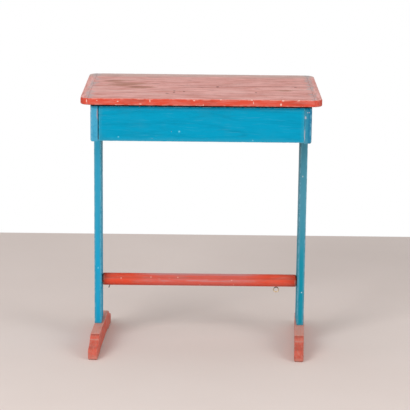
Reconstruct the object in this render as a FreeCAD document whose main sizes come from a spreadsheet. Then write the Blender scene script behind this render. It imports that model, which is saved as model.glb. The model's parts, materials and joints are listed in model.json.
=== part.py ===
import FreeCAD, Part
import math
import os
from types import SimpleNamespace

import Sketcher

# School desk: a shallow box with a hinged lid, on two posts with long feet, tied by a round foot rail.
# It stands on the XY plane with its front towards -Y and its origin on the floor under the lid's centre.

DIMENSIONS = [
    # Lid
    ("lid_width", 610, "left to right"),
    ("lid_depth", 400, "front to back"),
    ("lid_thick", 18, "thickness of the lid boards and end clamps"),
    ("lid_corner", 24, "radius of the lid's corners, seen from above"),
    ("lid_round", 3, "rounding of the lid's upper and lower edges"),
    ("front_board_width", 205, "depth of the lid's front board; the rear board takes the rest"),
    ("clamp_width", 20, "width of the end clamps across the lid boards"),
    ("tongue_thick", 6, "tongue on the ends of the lid boards"),
    ("tongue_long", 9, "length of that tongue"),
    ("tongue_inset", 40, "distance of the tongue from the lid's front and back edges"),
    # Box under the lid
    ("box_width", 560, "over the side panels"),
    ("box_depth", 370, "front to back"),
    ("panel_thick", 19, "thickness of the four panels"),
    ("side_height", 91.5, "height of the side panels"),
    ("side_drop", 2, "how far the side panels hang below the front and back panels"),
    ("side_round", 5, "rounding of the side panels' outer edges"),
    ("panel_round", 1.2, "rounding of the front and back panels' edges"),
    ("seam_gap", 2, "open seam at the left end of the front panel"),
    ("cleat_size", 14, "side of the square cleats under the bottom boards"),
    ("bottom_thick", 8, "thickness of the bottom boards"),
    ("bottom_gap", 1, "gap beside each bottom board"),
    # Stand
    ("post_width", 75, "front to back"),
    ("post_thick", 19, "left to right"),
    ("post_height", 525, "from the foot's top to the side panel's lower edge"),
    ("post_round", 2.5, "rounding of the posts' upright edges"),
    ("lap_height", 62, "tongue of the post that is let into the side panel"),
    ("lap_thick", 9.5, "thickness of that tongue"),
    ("tenon_long", 34, "tenon of the post in the foot"),
    ("tenon_thick", 9, "left to right"),
    ("tenon_shoulder", 10, "shoulder in front of and behind the tenon"),
    ("foot_front", 193, "from the post's axis to the foot's front end"),
    ("foot_back", 146, "from the post's axis to the foot's back end"),
    ("foot_height", 53, "height under the post"),
    ("foot_thick", 25, "left to right"),
    ("foot_round", 2, "rounding of the foot's upper edges"),
    ("foot_angle", 3, "turn of the feet under the posts, in degrees, clockwise from above"),
    ("left_foot_shift", 4.5, "how far the left foot stands inwards of the middle of its post"),
    ("toe_nose", 13, "rounding over the toe's upright end"),
    ("toe_hollow_long", 31, "length of the hollow moulding"),
    ("toe_hollow_rise", 12, "height of the hollow moulding"),
    ("toe_flat", 2, "small flat between the two mouldings"),
    ("toe_bead_long", 16, "length of the round moulding"),
    ("toe_bead_rise", 9, "height of the round moulding"),
    ("toe_quirk", 2, "small step above the round moulding"),
    ("pad_length", 64, "part of the foot that rests on the floor, at each end"),
    ("arch_height", 6, "clear height under the middle of the foot"),
    ("rail_diameter", 33, "round foot rail"),
    ("rail_height", 166.5, "height of the rail's axis above the floor"),
    ("rail_shoulder", 6, "rounding of the rail's ends"),
    ("rail_tenon", 19, "diameter of the rail's end tenons"),
    ("wedge_long", 14, "wedge in the tenon's saw cut"),
    ("wedge_thick", 3, "thick end of the wedge"),
    ("wedge_tip", 0.8, "thin end of the wedge"),
    ("wedge_edge", 1, "width of the tenon left beside the wedge"),
    ("peg_diameter", 8, "peg through the foot and the post's tenon"),
    ("peg_spacing", 26, "between a foot's two pegs"),
    # Hinges
    ("hinge_spacing", 340, "between the middles of the two hinges"),
    ("leaf_length", 50, "along the pin"),
    ("leaf_width", 20, "from the pin's axis to the leaf's free edge"),
    ("leaf_thick", 1.5, "thickness of the leaves"),
    ("knuckle_diameter", 5.6, "outer diameter of the knuckles"),
    ("knuckle_gap", 0.3, "between neighbouring knuckles"),
    ("pin_diameter", 3, "hinge pin"),
    ("leaf_hole_spacing", 17, "between a leaf's screws"),
    ("leaf_hole_back", 11, "from the pin's axis to the screws"),
    # Fasteners and fittings
    ("hinge_screw_head", 5.6, "head diameter"),
    ("hinge_screw_shank", 3, "shank diameter"),
    ("hinge_screw_long", 12, "length with the head"),
    ("corner_screw_head", 8, "head diameter"),
    ("corner_screw_shank", 4, "shank diameter"),
    ("corner_screw_long", 40, "length with the head"),
    ("corner_screw_spacing", 50, "between the two screws of a corner"),
    ("lap_screw_head", 7, "head diameter"),
    ("lap_screw_shank", 3.5, "shank diameter"),
    ("lap_screw_long", 16, "length with the head"),
    ("lap_screw_across", 45, "spacing across the post"),
    ("lap_screw_up", 32, "spacing up the post"),
    ("cleat_screw_head", 6, "head diameter"),
    ("cleat_screw_shank", 3.5, "shank diameter"),
    ("cleat_screw_long", 28, "length with the head"),
    ("cleat_screw_spacing", 175, "between a cleat's screws"),
    ("nail_head", 4, "head diameter of the bottom nails"),
    ("nail_head_thick", 0.8, "thickness of that head"),
    ("nail_shank", 1.8, "shank diameter"),
    ("nail_long", 18, "length below the head"),
    ("nail_spacing", 60, "between the two nails at a board's end"),
    ("buffer_diameter", 13, "rubber buffer under the lid"),
    ("buffer_taper", 1, "how much narrower the buffer is at its top"),
    ("buffer_setback", 26, "from the box's front to the buffer's middle"),
    ("eye_ring", 6.6, "middle radius of the screw eye's ring"),
    ("eye_wire", 2.4, "wire diameter of the screw eye"),
    ("eye_neck", 1, "gap between the ring and the rail"),
    ("eye_depth", 10, "thread of the screw eye in the rail"),
    ("eye_place", 206, "from the middle of the desk to the screw eye"),
    ("stub_diameter", 2.2, "nail stub under the rail"),
    ("stub_drop", 8, "how far the stub stands out of the rail"),
    ("stub_point", 2, "length of its point"),
    ("stub_depth", 9, "length of it in the rail"),
    ("stub_tilt", 18, "lean of the stub, in degrees"),
    ("stub_place", 241, "from the middle of the desk to the stub"),
    # Clearances
    ("joint_clear", 0.1, "clearance in a fixed wood joint and round a screw"),
    ("joint_slack", 1, "room left at the bottom of a mortise or groove"),
    ("pin_clear", 0.05, "radial clearance of the hinge pin"),
    ("knuckle_clear", 0.3, "between a knuckle and the wood beside it"),
    ("buffer_clear", 0.2, "between a buffer and the closed lid"),
]

BOTTOM_BOARDS = 4
KNUCKLES = 5
SIDES = {"left": -1, "right": 1}
X_AXIS = FreeCAD.Vector(1, 0, 0)
Y_AXIS = FreeCAD.Vector(0, 1, 0)
Z_AXIS = FreeCAD.Vector(0, 0, 1)
SMALL = 1e-6

doc = FreeCAD.newDocument("SchoolDesk")
sheet = doc.addObject("Spreadsheet::Sheet", "Dimensions")
nodes = []


class Size:
    """A length that keeps both its number and the sheet expression that gives it."""

    def __init__(self, value, text):
        self.value = value
        self.text = text

    def __add__(self, other):
        other = as_size(other)
        return Size(self.value + other.value, f"({self.text} + {other.text})")

    def __sub__(self, other):
        other = as_size(other)
        return Size(self.value - other.value, f"({self.text} - {other.text})")

    def __mul__(self, other):
        other = as_size(other)
        return Size(self.value * other.value, f"({self.text} * {other.text})")

    def __truediv__(self, other):
        other = as_size(other)
        return Size(self.value / other.value, f"({self.text} / {other.text})")

    def __neg__(self):
        return Size(-self.value, f"(-{self.text})")

    __rmul__ = __mul__


def as_size(number):
    """A plain number as a Size; a Size stays as it is."""
    if isinstance(number, Size):
        return number
    return Size(number, f"({number})")


def fill_sheet():
    """Write every dimension to the sheet and return the sizes by name."""
    sizes = {}
    for row, (alias, value, meaning) in enumerate(DIMENSIONS, start=1):
        sheet.set(f"A{row}", meaning)
        sheet.set(f"B{row}", str(value))
        sheet.setAlias(f"B{row}", alias)
        sizes[alias] = Size(value, f"Dimensions.{alias}")
    doc.recompute()
    return SimpleNamespace(**sizes)


d = fill_sheet()

# Heights and planes that several pieces share
NONE = as_size(0)
SPARE = as_size(1)
side_bottom = d.foot_height + d.post_height
box_top = side_bottom + d.side_height
panel_bottom = side_bottom + d.side_drop
bottom_top = panel_bottom + d.cleat_size + d.bottom_thick
knuckle_reach = d.knuckle_diameter / 2 + d.knuckle_clear
lid_bottom = box_top + 2 * knuckle_reach - d.leaf_thick
lid_top = lid_bottom + d.lid_thick
pin_height = lid_bottom - knuckle_reach
box_back = d.box_depth / 2
pin_back = box_back + knuckle_reach
panel_back = box_back - d.panel_thick
panel_side = d.box_width / 2 - d.panel_thick
post_outside = d.box_width / 2
post_inside = post_outside - d.post_thick
post_middle = post_outside - d.post_thick / 2
foot_length = d.foot_front + d.foot_back
foot_middle = {-1: d.left_foot_shift - post_middle, 1: post_middle}
tenon_middle = {side: (foot_middle[side] + side * post_middle) / 2 for side in foot_middle}
clamp_inside = d.lid_width / 2 - d.clamp_width
board_seam = d.front_board_width - d.lid_depth / 2


# Building blocks

def bind(thing, **sizes):
    """Tie properties of a document object to the sheet."""
    for name, size in sizes.items():
        thing.setExpression(name, as_size(size).text)


def place(thing, x, y, z, rotation=None):
    """Turn an object, then tie its position to the sheet."""
    if rotation:
        thing.Placement = FreeCAD.Placement(FreeCAD.Vector(), rotation)
    for axis, size in zip("xyz", (x, y, z)):
        thing.setExpression(f".Placement.Base.{axis}", as_size(size).text)
    return thing


def named(thing, label):
    """Give an object the name of a finished sub-part."""
    thing.Label = label
    nodes.append(thing)
    return thing


def facing(direction):
    """Rotation that turns +Z into a direction."""
    return FreeCAD.Rotation(Z_AXIS, direction)


def set_turned(thing, x, axis, angle):
    """Set a piece that is modelled about the Z axis at a place across the desk, turned by a sheet angle."""
    place(thing, x, NONE, NONE, FreeCAD.Rotation(axis, angle.value))
    thing.setExpression(".Placement.Rotation.Angle", angle.text)
    return thing


def both(low, high, side):
    """Span between two distances from the middle, on the left or right side."""
    if side > 0:
        return low, high
    return -high, -low


def block(x, y, z):
    """Box between the low and high sizes of each axis."""
    thing = doc.addObject("Part::Box", "Block")
    bind(thing, Length=x[1] - x[0], Width=y[1] - y[0], Height=z[1] - z[0])
    return place(thing, x[0], y[0], z[0])


def rod(radius, length, base, direction=Z_AXIS):
    """Cylinder from a base point along a direction."""
    thing = doc.addObject("Part::Cylinder", "Rod")
    bind(thing, Radius=radius, Height=length)
    return place(thing, *base, facing(direction))


def cone(low_radius, high_radius, length, base):
    """Upright cone on a base point."""
    thing = doc.addObject("Part::Cone", "Cone")
    bind(thing, Radius1=low_radius, Radius2=high_radius, Height=length)
    return place(thing, *base)


def compound(things):
    thing = doc.addObject("Part::Compound", "Group")
    thing.Links = things
    return thing


def fuse(*things):
    thing = doc.addObject("Part::MultiFuse", "Joined")
    thing.Shapes = list(things)
    thing.Refine = True
    return thing


def cut(base, *tools):
    """Base less the tools, which may touch one another."""
    thing = doc.addObject("Part::Cut", "Cut")
    thing.Base = base
    thing.Tool = tools[0] if len(tools) == 1 else fuse(*tools)
    return thing


def shared(base, tool):
    thing = doc.addObject("Part::Common", "Shared")
    thing.Base = base
    thing.Tool = tool
    return thing


def origin_plane(body, role):
    return next(plane for plane in body.Origin.OriginFeatures if plane.Role == role)


def arc_between(start, end, radius, turn):
    """Arc of under half a circle, with turn 1 for anticlockwise and -1 for clockwise."""
    chord = end - start
    rise = math.sqrt(radius ** 2 - chord.Length ** 2 / 4)
    left = FreeCAD.Vector(-chord.y, chord.x, 0).normalize()
    centre = (start + end) * 0.5 + left * (turn * rise)
    first, last = (start, end) if turn > 0 else (end, start)
    angles = [math.atan2(p.y - centre.y, p.x - centre.x) for p in (first, last)]
    return Part.ArcOfCircle(Part.Circle(centre, Z_AXIS, radius), *angles)


def pin_point(sketch, edge, end, x, y):
    """Hold a sketch point at sheet-driven coordinates, which are never negative."""
    for kind, size, axis in (("DistanceX", x, -2), ("DistanceY", y, -1)):
        if size is NONE:
            sketch.addConstraint(Sketcher.Constraint("PointOnObject", edge, end, axis))
        else:
            number = sketch.addConstraint(Sketcher.Constraint(kind, edge, end, size.value))
            sketch.setExpression(f"Constraints[{number}]", size.text)


def draw_outline(sketch, path):
    """Closed outline through (x, y) points; a point with (radius, turn) is reached by an arc."""
    ends = []
    for here, there in zip(path, path[1:] + path[:1]):
        start = FreeCAD.Vector(here[0].value, here[1].value, 0)
        end = FreeCAD.Vector(there[0].value, there[1].value, 0)
        if len(there) == 2:
            edge = sketch.addGeometry(Part.LineSegment(start, end))
            ends.append((edge, 1, 2))
        else:
            radius, turn = there[2]
            edge = sketch.addGeometry(arc_between(start, end, radius.value, turn))
            number = sketch.addConstraint(Sketcher.Constraint("Radius", edge, radius.value))
            sketch.setExpression(f"Constraints[{number}]", radius.text)
            ends.append((edge, 1, 2) if turn > 0 else (edge, 2, 1))
    for (edge, _, last), (follower, first, _) in zip(ends, ends[1:] + ends[:1]):
        sketch.addConstraint(Sketcher.Constraint("Coincident", edge, last, follower, first))
    for (edge, first, _), point in zip(ends, path):
        pin_point(sketch, edge, first, point[0], point[1])


def new_body(name, plane, path):
    """Body with one sketched outline on one of its origin planes."""
    body = doc.addObject("PartDesign::Body", name)
    sketch = body.newObject("Sketcher::SketchObject", name + "Outline")
    sketch.AttachmentSupport = [(origin_plane(body, plane), "")]
    sketch.MapMode = "FlatFace"
    draw_outline(sketch, path)
    return body, sketch


def pad(body, sketch, length):
    thing = body.newObject("PartDesign::Pad", body.Name + "Pad")
    thing.Profile = sketch
    bind(thing, Length=length)
    doc.recompute()
    return thing


def round_edges(body, radius, chosen):
    """Fillet the edges of the body's tip whose bounding box passes the test."""
    tip = body.Tip
    edges = enumerate(tip.Shape.Edges, start=1)
    picked = [f"Edge{number}" for number, edge in edges if chosen(edge.BoundBox)]
    thing = body.newObject("PartDesign::Fillet", body.Name + "Round")
    thing.Base = (tip, picked)
    bind(thing, Radius=radius)
    doc.recompute()


def is_upright(box):
    return box.XLength < SMALL and box.YLength < SMALL


def is_level(box):
    return box.ZLength < SMALL


def plank(name, x, y, z):
    """Padded board between the low and high sizes of each axis, ready for its roundings."""
    long = x[1] - x[0]
    wide = y[1] - y[0]
    path = [(NONE, NONE), (long, NONE), (long, wide), (NONE, wide)]
    body, sketch = new_body(name, "XY_Plane", path)
    pad(body, sketch, z[1] - z[0])
    return place(body, x[0], y[0], z[0])


# Fasteners

def screw_kind(kind):
    """Head diameter, shank diameter and length of one kind of screw."""
    return [getattr(d, f"{kind}_screw_{part}") for part in ("head", "shank", "long")]


def screw(kind, spot, direction):
    """Slotted countersunk screw whose head faces a direction and is flush at the spot."""
    head, shank, long = screw_kind(kind)
    sink = (head - shank) / 2
    cap = cone(shank / 2, head / 2, sink, (NONE, NONE, -sink))
    stem = rod(shank / 2, long - sink - shank, (NONE, NONE, shank - long))
    point = cone(NONE, shank / 2, shank, (NONE, NONE, -long))
    slot_half = shank / 8
    slot = block((-head, head), (-slot_half, slot_half), (-sink / 2, sink))
    return place(cut(fuse(cap, stem, point), slot), *spot, facing(direction))


def screw_hole(kind, spot, direction):
    """Countersunk hole that a screw of the kind sits in."""
    head, shank, long = screw_kind(kind)
    sink = (head - shank) / 2
    mouth = cone(shank / 2 + d.joint_clear, head / 2 + d.joint_clear, sink, (NONE, NONE, -sink))
    bore = rod(shank / 2 + d.joint_clear, long, (NONE, NONE, -long))
    return place(fuse(mouth, bore), *spot, facing(direction))


def screws(kind, spots):
    return compound([screw(kind, spot, direction) for spot, direction in spots])


def screw_holes(kind, spots):
    return [screw_hole(kind, spot, direction) for spot, direction in spots]


# Places of the fasteners, each a point and the way its head faces

def hinge_spots(height, direction):
    steps = (-1, 0, 1)
    back = pin_back - d.leaf_hole_back
    middles = [side * d.hinge_spacing / 2 for side in SIDES.values()]
    places = [middle + step * d.leaf_hole_spacing for middle in middles for step in steps]
    return [((x, back, height), direction) for x in places]


def corner_spots(side):
    middle = panel_bottom + (box_top - panel_bottom) / 2
    heights = [middle + step * d.corner_screw_spacing / 2 for step in (-1, 1)]
    depths = [step * (box_back - d.panel_thick / 2) for step in (-1, 1)]
    return [((side * d.box_width / 2, y, z), X_AXIS * side) for y in depths for z in heights]


def lap_spots(side):
    middle = side_bottom + d.lap_height / 2
    heights = [middle + step * d.lap_screw_up / 2 for step in (-1, 1)]
    depths = [step * d.lap_screw_across / 2 for step in (-1, 1)]
    return [((side * panel_side, y, z), X_AXIS * -side) for y in depths for z in heights]


def cleat_spots(end):
    height = panel_bottom + d.cleat_size / 2
    depth = end * (panel_back - d.cleat_size)
    return [((step * d.cleat_screw_spacing, depth, height), Y_AXIS * -end) for step in (-1, 0, 1)]


lid_hinge_spots = hinge_spots(lid_bottom - d.leaf_thick, -Z_AXIS)
box_hinge_spots = hinge_spots(box_top, Z_AXIS)


# Lid

def lid_blank():
    """The whole lid with its rounded corners and edges, from which its pieces are taken."""
    half_wide = d.lid_width / 2
    half_deep = d.lid_depth / 2
    body = plank("LidBlank", (-half_wide, half_wide), (-half_deep, half_deep), (lid_bottom, lid_top))
    round_edges(body, d.lid_corner, is_upright)
    round_edges(body, d.lid_round, is_level)
    return body


def lid_slice(blank, x, y):
    """The part of the lid between two planes across and two planes along it."""
    return shared(blank, block(x, y, (lid_bottom - SPARE, lid_top + SPARE)))


def tongue(side, y, clear, slack):
    """Tongue on a board's end, or with a clearance the groove for it."""
    middle = lid_bottom + d.lid_thick / 2
    half = d.tongue_thick / 2 + clear
    x = both(clamp_inside, clamp_inside + d.tongue_long + slack, side)
    return block(x, y, (middle - half, middle + half))


def lid_board(label, blank, y, tongue_y, holes):
    board = lid_slice(blank, (-clamp_inside, clamp_inside), y)
    tongues = [tongue(side, tongue_y, NONE, NONE) for side in SIDES.values()]
    board = fuse(board, *tongues)
    named(cut(board, *holes) if holes else board, label)


def build_lid():
    blank = lid_blank()
    edge = d.lid_depth / 2
    tongue_end = edge - d.tongue_inset
    lid_board("lid_board_front", blank, (-edge - SPARE, board_seam), (-tongue_end, board_seam), [])
    holes = screw_holes("hinge", lid_hinge_spots)
    lid_board("lid_board_rear", blank, (board_seam, edge + SPARE), (board_seam, tongue_end), holes)
    groove_y = (-tongue_end - d.joint_clear, tongue_end + d.joint_clear)
    for name, side in SIDES.items():
        x = both(clamp_inside, d.lid_width / 2 + SPARE, side)
        clamp = lid_slice(blank, x, (-edge - SPARE, edge + SPARE))
        named(cut(clamp, tongue(side, groove_y, d.joint_clear, d.joint_slack)), f"lid_clamp_{name}")


# Box

def build_front_and_back():
    """Front panel, and back panel with recesses for the hinge leaves."""
    height = (panel_bottom, box_top)
    corner_holes = {1: [], -1: []}
    for side in SIDES.values():
        for (spot, direction) in corner_spots(side):
            end = 1 if spot[1].value > 0 else -1
            corner_holes[end].append(screw_hole("corner", spot, direction))
    front = plank("Front", (d.seam_gap - panel_side, panel_side), (-box_back, -panel_back), height)
    round_edges(front, d.panel_round, lambda box: True)
    named(cut(front, *corner_holes[-1], *screw_holes("cleat", cleat_spots(-1))), "front_panel")
    back = plank("Back", (-panel_side, panel_side), (panel_back, box_back), height)
    round_edges(back, d.panel_round, lambda box: True)
    holes = corner_holes[1] + screw_holes("cleat", cleat_spots(1)) + screw_holes("hinge", box_hinge_spots)
    named(cut(back, *holes, *[leaf_recess(side) for side in SIDES.values()]), "back_panel")


def leaf_recess(side):
    """Recess in the back panel's upper edge that takes a hinge leaf."""
    middle = side * d.hinge_spacing / 2
    half = d.leaf_length / 2 + d.joint_clear
    depth = (pin_back - d.leaf_width - d.joint_clear, box_back + SPARE)
    return block((middle - half, middle + half), depth, (box_top - d.leaf_thick, box_top + SPARE))


def side_panel(name, side):
    """Side panel with rounded outer edges and a housing for the post's tongue."""
    x = both(panel_side, d.box_width / 2, side)
    body = plank("Side", x, (-box_back, box_back), (side_bottom, box_top))
    whole = body.Tip.Shape.BoundBox
    outer = whole.XMax if side > 0 else whole.XMin

    def is_outer(box):
        return box.XLength < SMALL and abs(box.XMin - outer) < SMALL and box.ZMin < whole.ZMax - SMALL

    round_edges(body, d.side_round, is_outer)
    half = d.post_width / 2 + d.joint_clear
    housing = block(
        both(panel_side - SPARE, panel_side + d.lap_thick + d.joint_clear, side),
        (-half, half),
        (side_bottom - SPARE, side_bottom + d.lap_height + d.joint_clear),
    )
    holes = screw_holes("corner", corner_spots(side)) + screw_holes("lap", lap_spots(side))
    named(cut(body, housing, *holes), f"side_panel_{name}")


def nail_spots(board):
    """Nails of one bottom board: two at each end, over the cleats."""
    wide = (2 * panel_side) / BOTTOM_BOARDS
    middle = wide * (board + 0.5) - panel_side
    across = [middle + step * d.nail_spacing / 2 for step in (-1, 1)]
    depth = panel_back - d.cleat_size / 2
    return [(x, end * depth, bottom_top) for x in across for end in (-1, 1)]


def nail(spot):
    shank = rod(d.nail_shank / 2, d.nail_long, (NONE, NONE, -d.nail_long))
    head = rod(d.nail_head / 2, d.nail_head_thick, (NONE, NONE, NONE))
    return place(fuse(shank, head), *spot)


def nail_hole(spot):
    x, y, z = spot
    return rod(d.nail_shank / 2 + d.joint_clear, d.nail_long + SPARE, (x, y, z + SPARE), -Z_AXIS)


def build_bottom():
    """Bottom boards that run front to back on two cleats, with their nails."""
    wide = (2 * panel_side) / BOTTOM_BOARDS
    half_gap = d.bottom_gap / 2
    y = (half_gap - panel_back, panel_back - half_gap)
    z = (panel_bottom + d.cleat_size, bottom_top)
    every_spot = []
    for board in range(BOTTOM_BOARDS):
        left = wide * board - panel_side
        spots = nail_spots(board)
        every_spot += spots
        piece = block((left + half_gap, left + wide - half_gap), y, z)
        named(cut(piece, *[nail_hole(spot) for spot in spots]), f"bottom_board_{board + 1}")
    for name, end in (("front", -1), ("rear", 1)):
        depth = both(panel_back - d.cleat_size, panel_back, end)
        piece = block((-panel_side, panel_side), depth, (panel_bottom, panel_bottom + d.cleat_size))
        holes = [nail_hole(spot) for spot in every_spot if spot[1].value * end > 0]
        named(cut(piece, *holes, *screw_holes("cleat", cleat_spots(end))), f"bottom_cleat_{name}")
    named(compound([nail(spot) for spot in every_spot]), "bottom_nails")


def build_buffers():
    """Rubber buffers on the side panels that carry the lid's front edge."""
    high = lid_bottom - box_top - d.buffer_clear
    low_radius = d.buffer_diameter / 2
    middle = d.box_width / 2 - d.panel_thick / 2
    front = d.buffer_setback - box_back
    bases = [(side * middle, front, box_top) for side in SIDES.values()]
    buffers = [cone(low_radius, low_radius - d.buffer_taper / 2, high, base) for base in bases]
    named(compound(buffers), "lid_buffers")


# Stand

# The pegs and the foot are modelled about the foot's middle, then set in place and turned together.
# A tenon lies midway between the middles of its post and its foot.

def pegs(clear):
    """The two pegs of a foot, or with a clearance the holes for them."""
    height = d.foot_height - d.tenon_long / 2
    ends = [(-d.foot_thick / 2, step * d.peg_spacing / 2, height) for step in (-1, 1)]
    return [rod(d.peg_diameter / 2 + clear, d.foot_thick, end, X_AXIS) for end in ends]


def turned_pegs(side, clear):
    return set_turned(compound(pegs(clear)), foot_middle[side], -Z_AXIS, d.foot_angle)


def tenon(middle, clear, slack):
    """Tenon at the post's lower end, or with a clearance the mortise for it."""
    half_thick = d.tenon_thick / 2 + clear
    half_wide = d.post_width / 2 - d.tenon_shoulder + clear
    height = (d.foot_height - d.tenon_long - slack, d.foot_height)
    return block((middle - half_thick, middle + half_thick), (-half_wide, half_wide), height)


def post(name, side):
    """Post with a tongue for the side panel, a tenon for the foot and a hole for the rail."""
    half = d.post_width / 2
    shaft = plank("Post", both(post_inside, post_outside, side), (-half, half), (d.foot_height, side_bottom))
    round_edges(shaft, d.post_round, is_upright)
    lap = block(
        both(panel_side, panel_side + d.lap_thick, side),
        (-half, half),
        (side_bottom, side_bottom + d.lap_height),
    )
    rail_hole = rod(
        d.rail_tenon / 2 + d.joint_clear,
        d.post_thick + SPARE * 2,
        (side * (post_inside - SPARE), NONE, d.rail_height),
        X_AXIS * side,
    )
    whole = fuse(shaft, lap, tenon(tenon_middle[side], NONE, NONE))
    holes = [rail_hole, turned_pegs(side, d.joint_clear)] + screw_holes("lap", lap_spots(side))
    named(cut(whole, *holes), f"post_{name}")


def level_arc(long, rise):
    """Radius of an arc that is level at one end and climbs by a rise over a length."""
    return (long * long + rise * rise) / (rise * 2)


def toe_path():
    """Outline of a foot's front half, from the floor up over the toe to the flat top."""
    hollow_end = d.toe_nose + d.toe_hollow_long
    bead_start = hollow_end + d.toe_flat
    bead_end = bead_start + d.toe_bead_long
    bead_top = d.foot_height - d.toe_quirk
    hollow_top = bead_top - d.toe_bead_rise
    toe_height = hollow_top - d.toe_hollow_rise
    hollow_radius = level_arc(d.toe_hollow_long, d.toe_hollow_rise)
    bead_radius = level_arc(d.toe_bead_long, d.toe_bead_rise)
    return [
        (NONE, NONE),
        (NONE, toe_height - d.toe_nose),
        (d.toe_nose, toe_height, (d.toe_nose, -1)),
        (hollow_end, hollow_top, (hollow_radius, 1)),
        (bead_start, hollow_top),
        (bead_end, bead_top, (bead_radius, -1)),
        (bead_end, d.foot_height),
    ]


def mirrored_path(path):
    """The same outline for the foot's back half, in reverse order."""
    arcs = [point[2:] for point in path[1:]] + [()]
    far = [(foot_length - x, y) for x, y, *_ in path]
    return [point + arc for point, arc in reversed(list(zip(far, arcs)))]


def arch_path():
    """Underside of the foot, from the back pad to the front pad."""
    slope = d.arch_height * 2
    return [
        (foot_length - d.pad_length, NONE),
        (foot_length - d.pad_length - slope, d.arch_height),
        (d.pad_length + slope, d.arch_height),
        (d.pad_length, NONE),
    ]


def foot(name, side):
    """Foot with moulded toes, an arched underside and a mortise for the post."""
    front = toe_path()
    body, sketch = new_body("Foot", "YZ_Plane", front + mirrored_path(front) + arch_path())
    pad(body, sketch, d.foot_thick)
    top = body.Tip.Shape.BoundBox.ZMax
    round_edges(body, d.foot_round, lambda box: box.ZMin > top - SMALL and box.XLength < SMALL)
    place(body, -d.foot_thick / 2, -d.foot_front, NONE)
    mortise = compound([tenon(tenon_middle[side] - foot_middle[side], d.joint_clear, d.joint_slack)])
    set_turned(mortise, NONE, Z_AXIS, d.foot_angle)
    whole = cut(body, mortise, *pegs(d.joint_clear))
    named(set_turned(whole, foot_middle[side], -Z_AXIS, d.foot_angle), f"foot_{name}")


def rail_blank():
    """Turned rail with rounded shoulders and an end tenon in each post."""
    radius = d.rail_diameter / 2
    tenon_radius = d.rail_tenon / 2
    long = 2 * post_outside
    near = d.post_thick
    far = long - d.post_thick
    shoulder = d.rail_shoulder
    path = [
        (NONE, NONE),
        (NONE, tenon_radius),
        (near, tenon_radius),
        (near, radius - shoulder),
        (near + shoulder, radius, (shoulder, -1)),
        (far - shoulder, radius),
        (far, radius - shoulder, (shoulder, -1)),
        (far, tenon_radius),
        (long, tenon_radius),
        (long, NONE),
    ]
    body, sketch = new_body("Rail", "XY_Plane", path)
    turned = body.newObject("PartDesign::Revolution", "RailTurned")
    turned.Profile = sketch
    turned.ReferenceAxis = (sketch, ["H_Axis"])
    doc.recompute()
    return place(body, -post_outside, NONE, d.rail_height)


def rail_wedge(side):
    """Wedge driven into a level saw cut in the rail's tenon, thick end outwards."""
    half_wide = (d.rail_tenon - d.wedge_edge) / 2
    thick = d.wedge_thick / 2
    tip = d.wedge_tip / 2
    thing = doc.addObject("Part::Wedge", "Wedge")
    bind(thing, Xmin=-half_wide, Xmax=half_wide, X2min=-half_wide, X2max=half_wide)
    bind(thing, Ymin=NONE, Ymax=d.wedge_long)
    bind(thing, Zmin=-thick, Zmax=thick, Z2min=-tip, Z2max=tip)
    quarter_turn = FreeCAD.Rotation(Z_AXIS, 90 * side)
    return place(thing, side * post_outside, NONE, d.rail_height, quarter_turn)


def eye_shank(clear):
    """Straight part of the screw eye, or with a clearance the hole for it."""
    under = d.rail_height - d.rail_diameter / 2
    return rod(
        d.eye_wire / 2 + clear,
        d.eye_depth + d.eye_neck + d.eye_wire / 2,
        (d.eye_place, NONE, under - d.eye_neck - d.eye_wire / 2),
    )


def screw_eye():
    ring = doc.addObject("Part::Torus", "Ring")
    bind(ring, Radius1=d.eye_ring, Radius2=d.eye_wire / 2)
    under = d.rail_height - d.rail_diameter / 2
    middle = under - d.eye_neck - d.eye_wire / 2 - d.eye_ring
    place(ring, d.eye_place, NONE, middle, facing(Y_AXIS))
    return fuse(ring, eye_shank(NONE))


def nail_stub(clear):
    """Leaning nail stub under the rail, or with a clearance the hole for it."""
    radius = d.stub_diameter / 2 + clear
    stem = rod(radius, d.stub_drop + d.stub_depth, (NONE, NONE, -d.stub_drop))
    point = cone(NONE, radius, d.stub_point, (NONE, NONE, -d.stub_drop - d.stub_point))
    stub = fuse(stem, point)
    set_turned(stub, -d.stub_place, Y_AXIS, d.stub_tilt)
    return place(stub, -d.stub_place, NONE, d.rail_height - d.rail_diameter / 2)


def build_rail():
    wedges = [rail_wedge(side) for side in SIDES.values()]
    holes = [eye_shank(d.joint_clear), nail_stub(d.joint_clear)]
    named(cut(rail_blank(), *wedges, *holes), "foot_rail")
    named(compound(wedges), "rail_wedges")
    named(screw_eye(), "rail_screw_eye")
    named(nail_stub(NONE), "rail_nail_stub")


# Hinges

def knuckle_span(middle, number):
    """Low and high X of one of a hinge's knuckles."""
    pitch = (d.leaf_length + d.knuckle_gap) / KNUCKLES
    low = middle - d.leaf_length / 2 + pitch * number
    return low, low + pitch - d.knuckle_gap


def hinge_leaf(middle, height, numbers, spots):
    """Leaf between two heights, with its share of the knuckles and its screw holes."""
    plate_back = pin_back - knuckle_reach
    half = d.leaf_length / 2
    pieces = [block((middle - half, middle + half), (pin_back - d.leaf_width, plate_back), height)]
    for number in numbers:
        low, high = knuckle_span(middle, number)
        pieces.append(block((low, high), (plate_back, pin_back), height))
        pieces.append(rod(d.knuckle_diameter / 2, high - low, (low, pin_back, pin_height), X_AXIS))
    bore = rod(d.pin_diameter / 2 + d.pin_clear, d.leaf_length, (middle - half, pin_back, pin_height), X_AXIS)
    own_spots = [spot for spot in spots if spot[0][0].value * middle.value > 0]
    return cut(fuse(*pieces), bore, *screw_holes("hinge", own_spots))


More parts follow.
